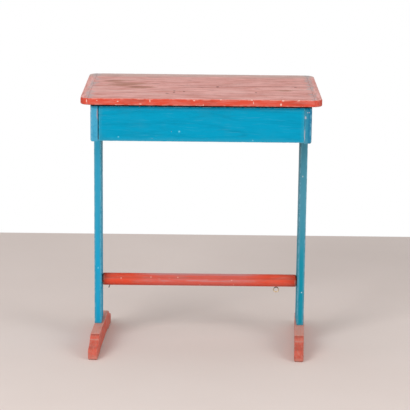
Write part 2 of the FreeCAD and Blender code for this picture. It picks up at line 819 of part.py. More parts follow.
def build_hinge(name, side):
    middle = side * d.hinge_spacing / 2
    box_height = (box_top - d.leaf_thick, box_top)
    lid_height = (lid_bottom - d.leaf_thick, lid_bottom)
    named(hinge_leaf(middle, box_height, range(0, KNUCKLES, 2), box_hinge_spots), f"hinge_box_leaf_{name}")
    named(hinge_leaf(middle, lid_height, range(1, KNUCKLES, 2), lid_hinge_spots), f"hinge_lid_leaf_{name}")
    start = (middle - d.leaf_length / 2, pin_back, pin_height)
    named(rod(d.pin_diameter / 2, d.leaf_length, start, X_AXIS), f"hinge_pin_{name}")


def build_fasteners():
    named(screws("hinge", lid_hinge_spots), "hinge_lid_screws")
    named(screws("hinge", box_hinge_spots), "hinge_box_screws")
    named(screws("corner", corner_spots(-1) + corner_spots(1)), "corner_screws")
    named(screws("lap", lap_spots(-1) + lap_spots(1)), "post_screws")
    named(screws("cleat", cleat_spots(-1) + cleat_spots(1)), "cleat_screws")
    named(compound([turned_pegs(side, NONE) for side in SIDES.values()]), "foot_pegs")


def write_parts():
    """Check every object, then write each sub-part to its own file."""
    doc.recompute()
    for thing in doc.Objects:
        if "Invalid" in thing.State or "Error" in thing.State:
            raise RuntimeError(f"{thing.Name} ({thing.Label}) did not build: {thing.State}")
    os.makedirs("parts", exist_ok=True)
    for node in nodes:
        shape = node.Shape
        if shape.isNull() or not shape.isValid() or not shape.Solids:
            raise RuntimeError(f"{node.Label} has no valid solid")
        shape.exportStep(f"parts/{node.Label}.step")
        print(f"{node.Label}: {len(shape.Solids)} solid(s), {shape.Volume / 1000:.2f} cm3")


build_lid()
build_front_and_back()
for side_name, side_sign in SIDES.items():
    side_panel(side_name, side_sign)
    post(side_name, side_sign)
    foot(side_name, side_sign)
    build_hinge(side_name, side_sign)
build_bottom()
build_buffers()
build_rail()
build_fasteners()
write_parts()
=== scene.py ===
import json
import math

import bmesh
import bpy
from mathutils import Matrix, Vector, kdtree, noise

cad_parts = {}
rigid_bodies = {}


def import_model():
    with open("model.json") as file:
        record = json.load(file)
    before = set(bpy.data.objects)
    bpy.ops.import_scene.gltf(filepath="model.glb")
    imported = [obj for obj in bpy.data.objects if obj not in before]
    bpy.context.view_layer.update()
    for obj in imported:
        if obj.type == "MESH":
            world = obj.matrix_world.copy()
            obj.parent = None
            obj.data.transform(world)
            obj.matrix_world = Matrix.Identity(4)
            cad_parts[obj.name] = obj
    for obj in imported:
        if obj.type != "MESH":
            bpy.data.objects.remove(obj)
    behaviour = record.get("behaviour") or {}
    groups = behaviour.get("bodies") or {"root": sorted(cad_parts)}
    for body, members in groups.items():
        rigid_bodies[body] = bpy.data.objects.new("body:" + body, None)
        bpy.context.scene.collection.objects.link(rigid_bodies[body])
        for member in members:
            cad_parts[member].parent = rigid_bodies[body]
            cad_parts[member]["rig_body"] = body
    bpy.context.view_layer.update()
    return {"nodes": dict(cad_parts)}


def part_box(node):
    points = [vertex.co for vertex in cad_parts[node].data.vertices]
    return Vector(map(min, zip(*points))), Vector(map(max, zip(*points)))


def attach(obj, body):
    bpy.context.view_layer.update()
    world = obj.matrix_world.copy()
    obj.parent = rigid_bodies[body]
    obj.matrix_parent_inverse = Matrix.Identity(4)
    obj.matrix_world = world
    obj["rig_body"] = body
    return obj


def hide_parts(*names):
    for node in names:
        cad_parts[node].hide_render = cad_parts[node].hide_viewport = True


# School desk in worn paint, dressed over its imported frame.
# The desk's front faces -Y, +X is to the right of a person who looks at the front, and +Z is up.
# Lengths are in metres, and MM turns a length in millimetres into metres.

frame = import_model()
MM = 0.001
AXES = {"X": Vector((1, 0, 0)), "Y": Vector((0, 1, 0)), "Z": Vector((0, 0, 1))}


# Places taken from the frame

def box_of(*names):
    """Lowest and highest corner of several nodes together."""
    lows, highs = zip(*(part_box(name) for name in names))
    low = Vector([min(corner[i] for corner in lows) for i in range(3)])
    high = Vector([max(corner[i] for corner in highs) for i in range(3)])
    return low, high


lid_low, lid_high = box_of("lid_board_front", "lid_board_rear", "lid_clamp_left", "lid_clamp_right")
clamp_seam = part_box("lid_clamp_right")[0].x
board_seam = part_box("lid_board_rear")[0].y
panel_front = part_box("front_panel")[0].y
box_low, box_high = box_of("side_panel_left", "side_panel_right")
rail_low, rail_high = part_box("foot_rail")
rail_middle = (rail_low + rail_high) / 2
post_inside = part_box("post_right")[0].x
post_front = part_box("post_right")[0].y
foot_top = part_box("foot_left")[1].z
foot_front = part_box("foot_left")[0].y
eye_low, eye_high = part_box("rail_screw_eye")
# Drop from a foot's top to the lower edge of the bead on its toe
BEAD_DROP = 11 * MM

# Marks of use, in millimetres, as centre and half size, read off the photograph on the desk's own faces

# Chips along the lid's front edge: X, height under the lid's top, half width, half height, depth
LID_CHIPS = [
    (-288, 7, 1.4, 5, 0.3),
    (-262, 6, 1.6, 1.4, 0.3),
    (-210, 8, 2.6, 1.8, 0.5),
    (-153, 14, 4, 1.2, 0.3),
    (-129, 6, 1.2, 4.5, 0.4),
    (-18, 4, 3, 1.4, 0.3),
    (5, 15, 2, 1.5, 0.3),
    (49, 1, 3, 1.5, 0.4),
    (127, 1, 3, 1.5, 0.4),
    (131, 8, 0.9, 4.5, 0.3),
    (200, 12, 2.8, 3.6, 0.7),
    (205, 2, 4, 2, 0.5),
    (245, 1, 3, 1.5, 0.4),
]
# Half size of those chips from front to back
CHIP_BACK = 5
# Patches on the lid where the paint is rubbed down to a brown: X, Y, half length, half depth
LID_RUBBED = [(-232, 64, 60, 46), (-200, 22, 80, 62), (-158, -20, 66, 44), (215, -60, 50, 30)]
# Dark streaks in the lid's grain
LID_STREAKS = [
    (-244, 73, 34, 14),
    (-186, -108, 36, 10),
    (-118, 32, 30, 13),
    (146, -31, 26, 11),
    (252, 92, 24, 10),
    (-170, -18, 26, 13),
    (110, 52, 40, 9),
]
# Small dark flecks and the knot in the lid
LID_FLECKS = [
    (42, -9, 6, 15),
    (-70, -79, 5, 10),
    (-70, -105, 5, 9),
    (-88, -119, 8, 8),
    (-45, -88, 4, 10),
    (140, -92, 5, 9),
    (246, -2, 5, 9),
]
# Specks on the front panel: X, Z, half width, half height
PANEL_SPECKS = [(-55, 606, 3, 3), (-209, 591, 2.5, 2.5), (131, 585, 2.5, 2)]
# Bare patches on the inner edges of the side panels' front faces
LEFT_STRIP_WEAR = [(-262, 649, 2.5, 17)]
RIGHT_STRIP_WEAR = [(263.5, 645, 3, 5), (262, 600, 1.5, 20), (268, 658, 1.8, 1.8), (272.5, 658, 1.8, 1.6)]
# Pale specks on the posts' front faces
LEFT_POST_SPECKS = [(-270, 207, 2.5, 4)]
RIGHT_POST_SPECKS = [(268.5, 461, 2, 3), (273, 144, 2, 2)]
# Specks on the rail: X, Z
RAIL_SPECKS = [(-210, 173), (-130, 176), (-58, 176), (1, 155), (86, 170), (91, 156)]


# Worn boards: each wooden node is copied, cut into small cells and worn down along its edges

# Points closer than WELD are joined, and worn edges shorter than COLLAPSE are closed up
WELD = 0.001 * MM
COLLAPSE = 0.01 * MM
# Turns between faces: under FLAT they are one face, over SHARP they wear, over SMOOTH they shade as an edge
FLAT = math.radians(0.2)
SHARP = math.radians(45)
SMOOTH = math.radians(50)
# A rounding is an arris where its facets turn by LEAST_TURN or more and its radius is under TIGHT_RADIUS
LEAST_TURN = math.radians(2)
TIGHT_RADIUS = 6.1 * MM
# Step between the points that stand for an edge
SAMPLE = 1 * MM
# Drop of an edge and of a corner along their own normals, as shares of the worn radius
EDGE_SHARE = math.sqrt(2) - 1
CORNER_SHARE = 0.6
# Cuts beside the outer faces, as shares of the widest worn radius
INSETS = (0.5, 1.2)
# Longest distance to an arris that is stored
FARTHEST = 60 * MM
# Waves of the faces, unevenness of the worn radius, dents along the arrises; a rate is in lumps per metre
WAVE_DEPTH = 0.16 * MM
WAVE_RATE = 9
SOFT_RATE = 28
SOFT_SPREAD = 0.6
DENT_DEPTH = 1.3 * MM
DENT_RATE = 70
DENT_SHARE = 0.3
DENT_REACH = 3 * MM
# Steps through the noise, so that each piece's seed gives it noise of its own
NOISE_STEPS = (1, 1.7, 2.3)
# Cuts in each edge near a chip, and how near, in sizes of the chip
CHIP_CUTS = 2
CHIP_REACH = 2


def everywhere(point):
    return True


def evenly(point):
    return 1


def is_sharp(edge):
    return edge.calc_face_angle_signed(0) > SHARP


def is_arris(edge):
    """True on a sharp outer edge and on a narrow rounding of one."""
    turn = edge.calc_face_angle_signed(0)
    if turn > SHARP:
        return True
    if turn < LEAST_TURN:
        return False
    width = sum(face.calc_area() for face in edge.link_faces) / (2 * edge.calc_length())
    return width / turn < TIGHT_RADIUS


def tree_along(mesh, chosen, keep):
    """Search tree of points along the chosen edges, and the direction of the edge at each point."""
    points = []
    for edge in mesh.edges:
        if len(edge.link_faces) == 2 and chosen(edge):
            start, end = (vert.co for vert in edge.verts)
            steps = max(1, math.ceil((end - start).length / SAMPLE))
            direction = (end - start).normalized()
            points += [(start.lerp(end, step / steps), direction) for step in range(steps + 1)]
    points = [(point, direction) for point, direction in points if keep(point)]
    tree = kdtree.KDTree(len(points))
    for number, (point, _) in enumerate(points):
        tree.insert(point, number)
    tree.balance()
    return tree, [direction for _, direction in points]


def way_from(edges, spot):
    """Shortest way to a spot from the nearest of the edges that a search tree holds."""
    tree, directions = edges
    place, number, _ = tree.find(spot)
    way = spot - place
    along = way.dot(directions[number])
    return way - max(-SAMPLE, min(SAMPLE, along)) * directions[number]


def cut_into_cells(mesh, cell, widest):
    """Cut a mesh by planes across each axis, with extra planes beside its outer faces."""
    corners = [vert.co for vert in mesh.verts]
    for number, axis in enumerate(AXES.values()):
        low = min(corner[number] for corner in corners)
        high = max(corner[number] for corner in corners)
        count = math.ceil((high - low) / cell)
        places = [low + (high - low) * step / count for step in range(1, count)]
        for share in INSETS:
            places += [low + share * widest, high - share * widest]
        for place in places:
            everything = mesh.verts[:] + mesh.edges[:] + mesh.faces[:]
            bmesh.ops.bisect_plane(mesh, geom=everything, dist=WELD, plane_co=axis * place, plane_no=axis)


def split_near(mesh, spots):
    """Divide the edges near each (centre, radius) spot, so that a chip has a shape."""
    for centre, radius in spots:
        close = {vert for vert in mesh.verts if (vert.co - centre).length < CHIP_REACH * radius}
        near = [edge for edge in mesh.edges if close.issuperset(edge.verts)]
        bmesh.ops.subdivide_edges(mesh, edges=near, cuts=CHIP_CUTS, use_grid_fill=True)


def rounding(vert, sharps, radius):
    """Move that takes a vertex on a sharp edge, or beside one, to a rounding of a radius."""
    way = way_from(sharps, vert.co)
    distance = way.length
    if distance > radius:
        return Vector()
    meeting = sum(is_sharp(edge) for edge in vert.link_edges)
    if meeting:
        return -radius * (CORNER_SHARE if meeting > 2 else EDGE_SHARE) * vert.normal
    angle = math.radians(45) * (1 - distance / radius)
    slide = radius * (1 - math.sin(angle)) - distance
    drop = radius * (1 - math.cos(angle))
    return slide * way.normalized() - drop * vert.normal


def wear_down(mesh, cell, soft, seed, keep, chips, blunt):
    """Sink every vertex a little, more at edges and chips, and store how far the nearest arris is."""
    sharps = tree_along(mesh, is_sharp, everywhere)
    arrises = tree_along(mesh, is_arris, keep)
    widest = soft * max(blunt(vert.co) for vert in mesh.verts)
    cut_into_cells(mesh, cell, widest)
    split_near(mesh, [(centre, max(half)) for centre, half, _ in chips])
    mesh.normal_update()
    layer = mesh.verts.layers.float.new("arris")
    shift = Vector([step * seed for step in NOISE_STEPS])
    moves = []
    for vert in mesh.verts:
        arris = min(way_from(arrises, vert.co).length, FARTHEST)
        vert[layer] = arris
        radius = blunt(vert.co) * soft * (1 + SOFT_SPREAD * noise.noise(vert.co * SOFT_RATE + shift))
        sunk = WAVE_DEPTH * (0.5 + 0.5 * noise.noise(vert.co * WAVE_RATE + shift))
        dent = max(0, noise.noise(vert.co * DENT_RATE + shift) - DENT_SHARE)
        sunk += DENT_DEPTH * dent * max(0, 1 - arris / DENT_REACH)
        for centre, half, depth in chips:
            offset = vert.co - centre
            share = math.hypot(offset.x / half.x, offset.y / half.y, offset.z / half.z)
            sunk += depth * max(0, min(1, 2 - 2 * share))
        moves.append(rounding(vert, sharps, radius) - sunk * vert.normal)
    for vert, move in zip(mesh.verts, moves):
        vert.co += move
    bmesh.ops.triangulate(mesh, faces=mesh.faces)
    bmesh.ops.dissolve_degenerate(mesh, dist=COLLAPSE, edges=mesh.edges)


def worn_copy(name, material, soft, cell, seed, keep=everywhere, chips=(), turn=0, blunt=evenly):
    """Piece that replaces a wooden node with a worn copy of its own shape.

    Sharp edges wear to the soft radius, which blunt multiplies from place to place, and keep says which
    arrises count. A turned node is set straight while it is cut into cells.
    """
    node = frame["nodes"][name]
    low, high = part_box(name)
    middle = (low + high) / 2
    straighten = Matrix.Translation(middle) @ Matrix.Rotation(turn, 4, "Z") @ Matrix.Translation(-middle)
    mesh = bmesh.new()
    mesh.from_mesh(node.data)
    bmesh.ops.remove_doubles(mesh, verts=mesh.verts, dist=WELD)
    bmesh.ops.dissolve_limit(mesh, angle_limit=FLAT, verts=mesh.verts, edges=mesh.edges)
    bmesh.ops.transform(mesh, matrix=straighten, verts=mesh.verts)
    wear_down(mesh, cell, soft, seed, keep, chips, blunt)
    bmesh.ops.transform(mesh, matrix=straighten.inverted(), verts=mesh.verts)
    data = bpy.data.meshes.new("worn_" + name)
    mesh.to_mesh(data)
    mesh.free()
    data.shade_smooth()
    data.set_sharp_from_angle(angle=SMOOTH)
    data.materials.append(material)
    piece = bpy.data.objects.new("worn_" + name, data)
    bpy.context.scene.collection.objects.link(piece)
    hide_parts(name)
    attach(piece, node["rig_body"])


# Material graphs

def srgb(red, green, blue):
    """Colour written as it looks on screen, from 0 to 255, as the linear colour of a shader."""
    shares = [level / 255 for level in (red, green, blue)]
    linear = [share / 12.92 if share <= 0.04045 else ((share + 0.055) / 1.055) ** 2.4 for share in shares]
    return (*linear, 1)


# Share along the grain at which coordinates are bent, before they are drawn out to their own share
BEND_SHARE = 0.4
# Step through the noise from one seed to the next
SEED_STEP = 0.37


class Graph:
    """One material's nodes, made by short calls that give and take sockets or plain values."""

    def __init__(self, name):
        self.material = bpy.data.materials.new(name)
        self.material.use_nodes = True
        self.tree = self.material.node_tree
        self.shader = self.tree.nodes["Principled BSDF"]
        self.coordinates = self.tree.nodes.new("ShaderNodeTexCoord")
        self.place = self.coordinates.outputs["Object"]
        self.normal = self.coordinates.outputs["Normal"]

    def feed(self, socket, value):
        if isinstance(value, bpy.types.NodeSocket):
            self.tree.links.new(value, socket)
        else:
            socket.default_value = value

    def node(self, kind, inputs, **settings):
        node = self.tree.nodes.new(kind)
        for name, setting in settings.items():
            setattr(node, name, setting)
        for name, value in inputs.items():
            self.feed(node.inputs[name], value)
        return node

    def math(self, operation, first, second=0.0):
        return self.node("ShaderNodeMath", {0: first, 1: second}, operation=operation).outputs[0]

    def plus(self, first, second):
        return self.math("ADD", first, second)

    def minus(self, first, second):
        return self.math("SUBTRACT", first, second)

    def times(self, first, second):
        return self.math("MULTIPLY", first, second)

    def most(self, first, second):
        return self.math("MAXIMUM", first, second)

    def size(self, value):
        return self.math("ABSOLUTE", value)

    def part(self, vector, axis):
        return self.node("ShaderNodeSeparateXYZ", {0: vector}).outputs[axis]

    def ramp(self, value, low, high, start=0.0, end=1.0):
        """Smooth step from start at low to end at high; high may lie below low."""
        inputs = {"Value": value, "From Min": low, "From Max": high, "To Min": start, "To Max": end}
        node = self.node("ShaderNodeMapRange", inputs, interpolation_type="SMOOTHSTEP")
        return node.outputs["Result"]

    def mix(self, factor, first, second):
        inputs = {0: factor, 6: first, 7: second}
        return self.node("ShaderNodeMix", inputs, data_type="RGBA").outputs[2]

    def squeezed(self, vector, scale, shift=(0, 0, 0)):
        inputs = {"Vector": vector, "Scale": scale, "Location": shift}
        return self.node("ShaderNodeMapping", inputs).outputs[0]

    def noise(self, vector, size, detail=2.0, rough=0.5):
        """Noise from 0 to 1 whose lumps are about a size across."""
        inputs = {"Vector": vector, "Scale": 1 / size, "Detail": detail, "Roughness": rough}
        return self.node("ShaderNodeTexNoise", inputs).outputs["Fac"]

    def shaken(self, vector, size, reach):
        """Coordinates moved about by up to a reach, in lumps of a size."""
        inputs = {"Vector": vector, "Scale": 1 / size, "Detail": 2.0}
        lumps = self.node("ShaderNodeTexNoise", inputs).outputs["Color"]
        centred = self.node("ShaderNodeVectorMath", {0: lumps, 1: (0.5, 0.5, 0.5)}, operation="SUBTRACT")
        inputs = {0: centred.outputs[0], "Scale": 2 * reach}
        moved = self.node("ShaderNodeVectorMath", inputs, operation="SCALE")
        return self.node("ShaderNodeVectorMath", {0: vector, 1: moved.outputs[0]}).outputs[0]

    def spot(self, vector, centre, half, inner=0.5):
        """Soft round mark, 1 inside a share of its half size and 0 outside it."""
        inputs = {"Vector": vector, "Location": centre, "Scale": half}
        inside = self.node("ShaderNodeMapping", inputs, vector_type="TEXTURE").outputs[0]
        length = self.node("ShaderNodeVectorMath", {0: inside}, operation="LENGTH").outputs["Value"]
        return self.ramp(length, 1, inner)

    def spots(self, vector, marks, inner=0.5):
        """All of several (centre, half size) marks."""
        total = None
        for centre, half in marks:
            mark = self.spot(vector, centre, half, inner)
            total = mark if total is None else self.most(total, mark)
        return total

    def through(self, mask, weight, texture, low, high):
        """A soft mask broken up by a texture, so that its shape follows the grain."""
        return self.ramp(self.plus(self.times(mask, weight), texture), low, high)

    def arris(self):
        """Distance from the board's nearest arris."""
        return self.node("ShaderNodeAttribute", {}, attribute_name="arris").outputs["Fac"]

    def edge_loss(self, reach, ease, size=9 * MM):
        """Crisp mask of the paint lost along the arrises, more of it the lower the ease is."""
        edge = self.ramp(self.arris(), reach, 0)
        return self.ramp(self.plus(edge, self.noise(self.place, size, 5, 0.65)), ease, ease + 0.06)

    def scratches(self, angle, share):
        """Thin straight scratches across the top, at an angle from the X axis."""
        inputs = {"Vector": self.place, "Rotation": (0, 0, angle)}
        turned = self.node("ShaderNodeMapping", inputs).outputs[0]
        thin = self.noise(self.squeezed(turned, stretch("X", 0.012)), 1.1 * MM, 1)
        return self.ramp(thin, share, share + 0.03)

    def grain(self, axis, seed, share, bend=6 * MM):
        """Coordinates shortened to a share along the grain, which draws noise on them out like wood."""
        shift = tuple(SEED_STEP * seed * step for step in (1, 2, 3))
        moved = self.squeezed(self.place, (1, 1, 1), shift)
        bent = self.shaken(self.squeezed(moved, stretch(axis, BEND_SHARE)), 40 * MM, bend)
        return self.squeezed(bent, stretch(axis, share / BEND_SHARE))

    def rings(self, vector, size, count):
        """Growth rings of a sawn board: level lines of a slow noise, from 0 to 1."""
        slow = self.noise(vector, size, 1.0)
        return self.math("PINGPONG", self.times(slow, count), 1.0)

    def finish(self, colour, roughness, height, gloss):
        """Join colour, roughness and a height in metres to the shader."""
        self.feed(self.shader.inputs["Base Color"], colour)
        self.feed(self.shader.inputs["Roughness"], roughness)
        self.shader.inputs["Specular IOR Level"].default_value = gloss
        bump = self.node("ShaderNodeBump", {"Height": height, "Distance": 1.0, "Strength": 1.0})
        self.feed(self.shader.inputs["Normal"], bump.outputs["Normal"])
        return self.material


def stretch(axis, share):
    """Scale that shortens noise along one axis to a share, which draws its lumps out."""
    return tuple(share if letter == axis else 1.0 for letter in AXES)


# How far marks reach into the wood, and the spread of a rub against the buffer that makes it
TOP_MARK_REACH = 100 * MM
FRONT_MARK_REACH = 6 * MM
RUB_REACH = 3 * MM
RUB_SPREAD = 1.6


def on_top(marks):
    """Marks on the lid's top as centres and half sizes."""
    return [
        ((x * MM, y * MM, lid_high.z), (long * MM, deep * MM, TOP_MARK_REACH))
        for x, y, long, deep in marks
    ]


def buffer_rubs():
    """Marks on the lid's underside where the two buffers press on it."""
    low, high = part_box("lid_buffers")
    across = (high.y - low.y) / 2
    half = (RUB_SPREAD * across, RUB_SPREAD * across, RUB_REACH)
    middle = (low.y + high.y) / 2
    return [((x, middle, lid_low.z), half) for x in (low.x + across, high.x - across)]


def on_front(marks, depth):
    """Marks on an upright front face as centres and half sizes."""
    return [
        ((x * MM, depth, z * MM), (wide * MM, FRONT_MARK_REACH, high * MM))
        for x, z, wide, high in marks
    ]


# Paint colours

PINK = srgb(242, 184, 177)
PINK_DEEP = srgb(210, 138, 127)
PINK_PALE = srgb(238, 190, 182)
RUBBED_BROWN = srgb(178, 122, 102)
STREAK_BROWN = srgb(140, 88, 78)
FLECK_BROWN = srgb(112, 62, 54)
BAND_GREY = srgb(172, 174, 176)
REAR_TAN = srgb(206, 184, 176)
EDGE_RED = srgb(208, 76, 56)
EDGE_FADED = srgb(208, 98, 84)
UNDER_RED = srgb(178, 84, 68)
UNDER_DARK = srgb(138, 62, 50)
ARRIS_PINK = srgb(222, 158, 146)
CHIP_PALE = srgb(238, 200, 186)
BLUE = srgb(0, 150, 188)
BLUE_GREY = srgb(70, 152, 178)
PANEL_GREY = srgb(46, 148, 178)
BLUE_PALE = srgb(120, 180, 202)
# Dark blue for grime and uneven tone, and for the painted shadow under the lid
BLUE_GRIME_AND_SHADE = srgb(0, 84, 110)
LEFT_BLUE = srgb(52, 157, 193)
LEFT_GREY = srgb(84, 162, 194)
RIGHT_BLUE = srgb(4, 132, 165)
RIGHT_GREY = srgb(84, 142, 162)
POST_BLUE = srgb(26, 158, 200)
POST_TEAL = srgb(20, 141, 165)
# Dark blue of the painted shade on the right side panel's outer edge
SHADE_BLUE = srgb(0, 106, 146)
UNDERCOAT_PINK = srgb(178, 146, 152)
STRIP_PALE = srgb(196, 190, 200)
SPECK_BLUE = srgb(120, 205, 226)
SPECK_PALE = srgb(214, 226, 230)
STAND_RED = srgb(220, 78, 54)
STAND_FADED = srgb(206, 102, 86)
STAND_DARK = srgb(164, 56, 40)
STAND_WORN = srgb(204, 148, 132)
FOOT_WORN = srgb(212, 158, 144)
RAIL_WORN = srgb(202, 138, 138)
WOOD = srgb(196, 160, 118)
WOOD_DARK = srgb(156, 112, 72)
WOOD_STAIN = srgb(112, 84, 60)
DUST = srgb(190, 178, 160)
# Dark grime, also used for painted shade at the lid's corners, the rail's ends and the feet's mouldings
GRIME_AND_SHADE = srgb(70, 48, 40)
STEEL = srgb(150, 144, 136)
STEEL_STAIN = srgb(96, 74, 58)
RUST = srgb(84, 68, 56)
RUST_DARK = srgb(46, 31, 23)
BRASS = srgb(216, 194, 150)
BRASS_STAIN_AND_SHADOW = srgb(92, 66, 40)
CHIPPED_METAL = srgb(120, 112, 104)
RUBBER = srgb(92, 86, 80)
RUBBER_PALE = srgb(132, 124, 114)

# Widths of the greyer border on the box's boards and on the posts, and of the painted shade on the right
# strip's outer edge
BOARD_RIM = 11 * MM
POST_RIM = 4.5 * MM
SHADED_STRIP = 12 * MM


def lid_top(g, axis, seed, lines):
    """Colour of the lid's top: red paint that sun and use have turned to a rubbed pink."""
    broad = g.noise(g.grain(axis, seed, 0.14, 3 * MM), 13 * MM, 6, 0.68)
    fine = g.noise(g.grain(axis, seed + 3, 0.04, 2 * MM), 1.6 * MM, 3, 0.7)
    rings = g.rings(g.grain(axis, seed + 7, 0.12, 4 * MM), 60 * MM, 14)
    loose = g.shaken(g.squeezed(g.place, stretch(axis, BEND_SHARE)), 30 * MM, 8 * MM)
    loose = g.squeezed(loose, stretch(axis, 1 / BEND_SHARE))
    close = g.shaken(g.place, 5 * MM, 1.5 * MM)

    rubbed = g.through(g.spots(loose, on_top(LID_RUBBED), 0.0), 0.36, broad, 0.56, 0.84)
    streaks = g.through(g.spots(loose, on_top(LID_STREAKS), 0.0), 0.34, lines, 0.7, 0.86)
    flecks = g.through(g.spots(close, on_top(LID_FLECKS), 0.3), 0.5, fine, 0.68, 0.84)
    across = g.size(g.part(loose, "X"))
    band = g.times(g.ramp(across, clamp_seam - 13 * MM, clamp_seam - 1 * MM),
                   g.ramp(across, clamp_seam + 13 * MM, clamp_seam + 3 * MM))
    band = g.times(band, g.ramp(g.noise(g.place, 22 * MM, 5, 0.65), 0.36, 0.58))
    rear_side = g.ramp(g.part(loose, "Y"), lid_high.y - 100 * MM, lid_high.y)
    rear = g.through(rear_side, 0.36, broad, 0.58, 0.84)
    seam = g.ramp(g.size(g.minus(g.part(close, "Y"), board_seam)), 4.5 * MM, 1 * MM)
    seam = g.times(seam, g.ramp(g.part(loose, "X"), -75 * MM, -45 * MM))

    colour = g.mix(g.ramp(broad, 0.38, 0.66), PINK, PINK_DEEP)
    colour = g.mix(g.ramp(g.noise(g.grain(axis, seed, 0.2), 40 * MM), 0.5, 0.75), colour, PINK_PALE)
    colour = g.mix(g.ramp(fine, 0.45, 0.75, 0.0, 0.4), colour, STREAK_BROWN)
    colour = g.mix(g.times(rubbed, 0.9), colour, RUBBED_BROWN)
    colour = g.mix(g.times(rear, 0.8), colour, REAR_TAN)
    colour = g.mix(g.times(g.ramp(rings, 0.75, 0.97), 0.2), colour, STREAK_BROWN)
    colour = g.mix(g.times(g.ramp(lines, 0.55, 0.72), 0.32), colour, STREAK_BROWN)
    crumbs = g.ramp(g.noise(g.grain(axis, seed + 5, 0.35, 2 * MM), 6 * MM, 4, 0.7), 0.58, 0.7)
    colour = g.mix(g.times(crumbs, 0.35), colour, STREAK_BROWN)
    colour = g.mix(g.most(g.times(streaks, 0.6), g.times(seam, 0.75)), colour, STREAK_BROWN)
    colour = g.mix(g.times(flecks, 0.62), colour, FLECK_BROWN)
    scratches = g.most(g.scratches(0.3, 0.7), g.scratches(-0.9, 0.73))
    colour = g.mix(g.times(scratches, 0.3), colour, PINK_PALE)
    return g.mix(g.times(band, 0.66), colour, BAND_GREY)


def lid_edge(g, axis, seed, lines):
    """Colour of the lid's edges: fresher red with streaks, a little dirt, and painted shade towards the
    rounded corners at the ends.
    """
    streaks = g.noise(g.grain(axis, seed, 0.15), 9 * MM, 5, 0.6)
    dirt = g.ramp(g.noise(g.grain(axis, seed + 2, 0.3), 22 * MM, 4, 0.6), 0.5, 0.75)
    colour = g.mix(g.ramp(streaks, 0.42, 0.64), EDGE_RED, EDGE_FADED)
    colour = g.mix(g.times(g.ramp(lines, 0.5, 0.75), 0.35), colour, ARRIS_PINK)
    # Painted shade: the edges darken towards the lid's ends, where the rounded corners turn away from the
    # light
    corner = g.ramp(g.size(g.part(g.place, "X")), lid_high.x - 16 * MM, lid_high.x - 3 * MM)
    return g.mix(g.most(g.times(dirt, 0.3), g.times(corner, 0.22)), colour, GRIME_AND_SHADE)


def lid_under(g, axis, seed, lines):
    """Colour of the lid's underside: thin old red over streaky wood, dusty, rubbed at the buffers."""
    broad = g.noise(g.grain(axis, seed, 0.1), 18 * MM, 5, 0.6)
    colour = g.mix(g.ramp(broad, 0.35, 0.7), UNDER_RED, UNDER_DARK)
    colour = g.mix(g.times(g.ramp(lines, 0.5, 0.72), 0.5), colour, UNDER_DARK)
    dust = g.ramp(g.noise(g.place, 70 * MM, 4, 0.6), 0.45, 0.75)
    colour = g.mix(g.times(dust, 0.3), colour, STAND_WORN)
    rubs = g.spots(g.shaken(g.place, 6 * MM, 2 * MM), buffer_rubs(), 0.6)
    return g.mix(g.times(rubs, 0.7), colour, WOOD)


def lid_paint(name, axis, seed):
    """Red paint of the lid, with a different age on its top, edges and underside."""
    g = Graph(name)
    lines = g.noise(g.grain(axis, seed, 0.07), 4 * MM, 4, 0.65)
    pores = g.noise(g.grain(axis, seed + 3, 0.06, 1 * MM), 0.8 * MM, 2)
    facing = g.part(g.normal, "Z")
    edge = lid_edge(g, axis, seed, lines)
    under = lid_under(g, axis, seed, lines)
    colour = g.mix(g.ramp(facing, -0.3, -0.8), edge, under)
    colour = g.mix(g.ramp(facing, 0.55, 0.9), colour, lid_top(g, axis, seed, lines))
    chip_marks = [(x, lid_high.z / MM - drop, wide, high) for x, drop, wide, high, _ in LID_CHIPS]
    chips = g.spots(g.shaken(g.place, 4 * MM, 0.8 * MM), on_front(chip_marks, lid_low.y), 0.6)
    thin = g.edge_loss(3.2 * MM, 1.48, 14 * MM)
    lost = g.edge_loss(2.5 * MM, 1.63)
    colour = g.mix(g.times(thin, 0.45), colour, ARRIS_PINK)
    colour = g.mix(g.times(g.most(lost, chips), 0.85), colour, CHIP_PALE)

    roughness = g.ramp(g.noise(g.place, 20 * MM, 3), 0.3, 0.7, 0.56, 0.74)
    relief = g.plus(g.times(lines, 0.08 * MM), g.times(pores, 0.03 * MM))
    relief = g.minus(relief, g.times(g.most(lost, chips), 0.15 * MM))
    return g.finish(colour, roughness, relief, 0.1)


